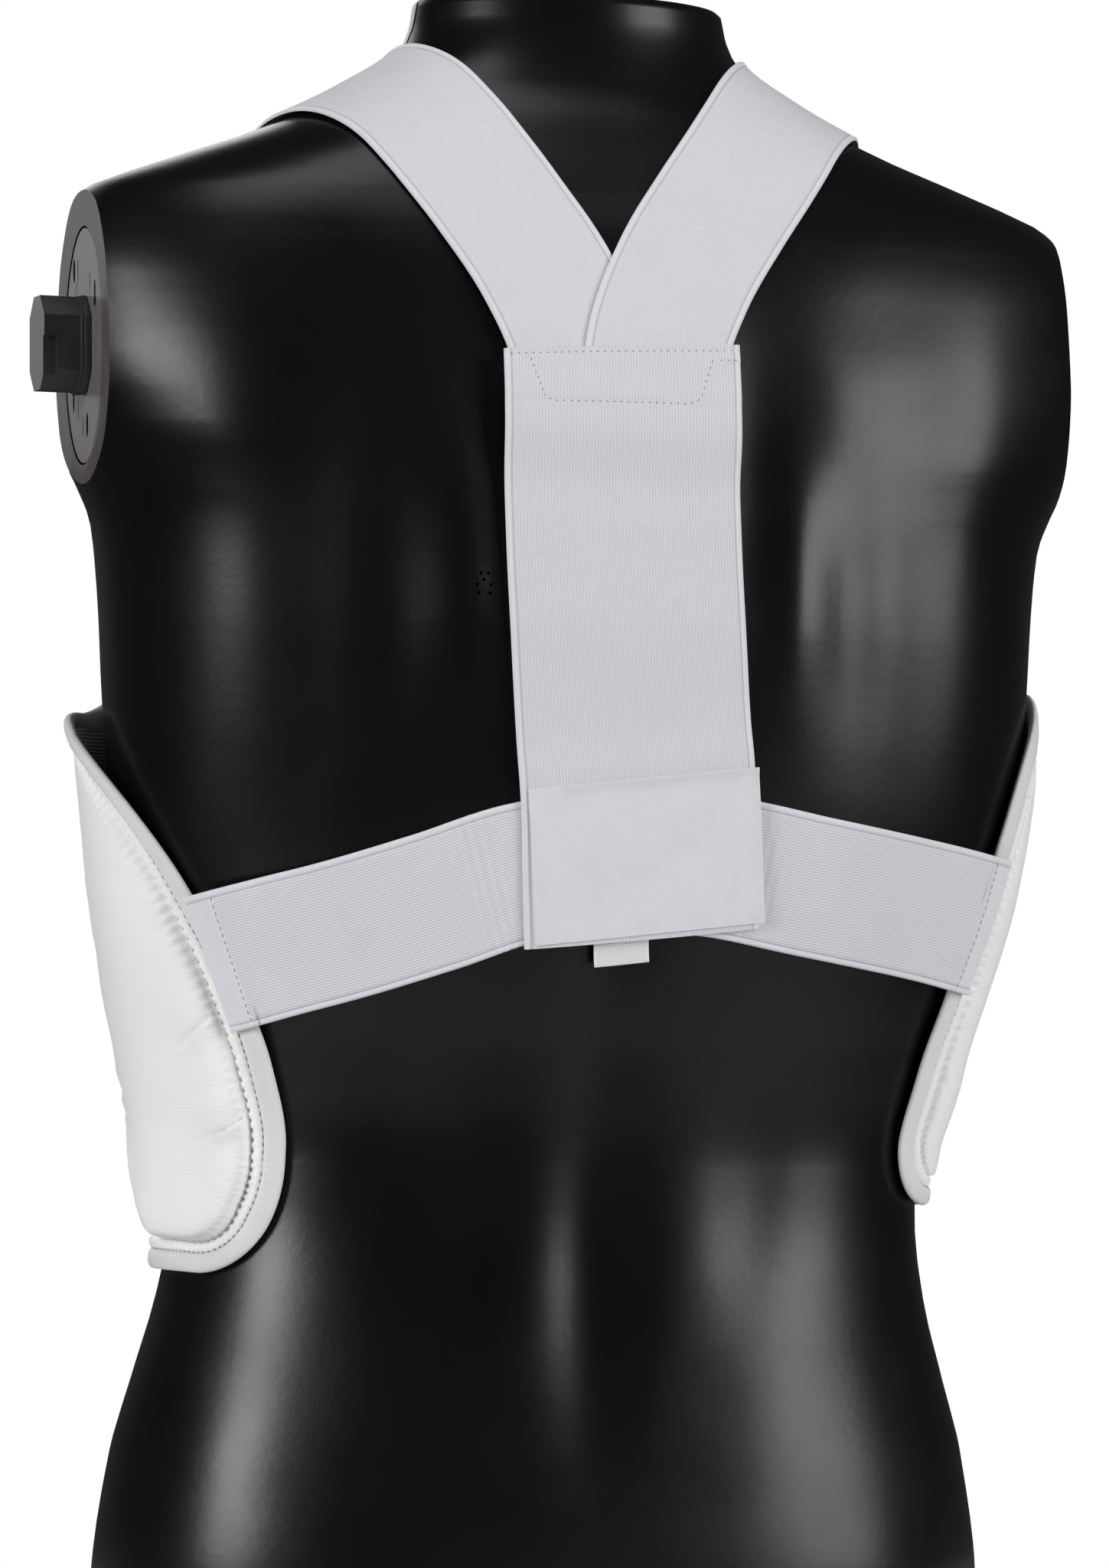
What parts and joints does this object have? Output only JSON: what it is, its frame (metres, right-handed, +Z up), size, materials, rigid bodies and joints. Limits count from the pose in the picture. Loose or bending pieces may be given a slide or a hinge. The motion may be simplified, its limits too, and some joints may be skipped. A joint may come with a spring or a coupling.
{
  "type": "karate chest protector on a limbless display torso",
  "caption": "Padded white chest protector with crossed elastic straps and a hook-and-loop back closure, worn on a glossy black limbless display torso.",
  "frame": {"origin": "middle of the flat underside of the display torso, which stands on z = 0", "axes": "+Z up, the chest faces -Y, the wearer's left is +X"},
  "size_m": [0.4497, 0.2575, 0.7328],
  "materials": {
    "form_gloss": "smooth gloss black moulded shell with soft reflections",
    "joint_plate": "dull grey plated arm joint plate",
    "joint_lug": "dark grey moulded arm lug",
    "pad_cover": "warm white close-woven cover cloth over foam",
    "mesh": "grey open mesh lining",
    "elastic": "cool white ribbed elastic with smooth selvedges",
    "patch_cloth": "smooth white back of a hook tape",
    "label_tape": "plain white folded woven tape"
  },
  "bodies": {
    "root": {"display_form": "form_gloss", "arm_plate_left": "joint_plate", "arm_plate_right": "joint_plate", "arm_lug_left": "joint_lug", "front_pad": "pad_cover", "mesh_lining": "mesh", "edge_binding": "pad_cover", "shoulder_strap_left": "elastic", "shoulder_strap_right": "elastic", "back_panel": "elastic", "side_band_left": "elastic", "side_band_right": "elastic", "closure_patch": "patch_cloth", "size_label": "label_tape"}
  },
  "joints": []
}
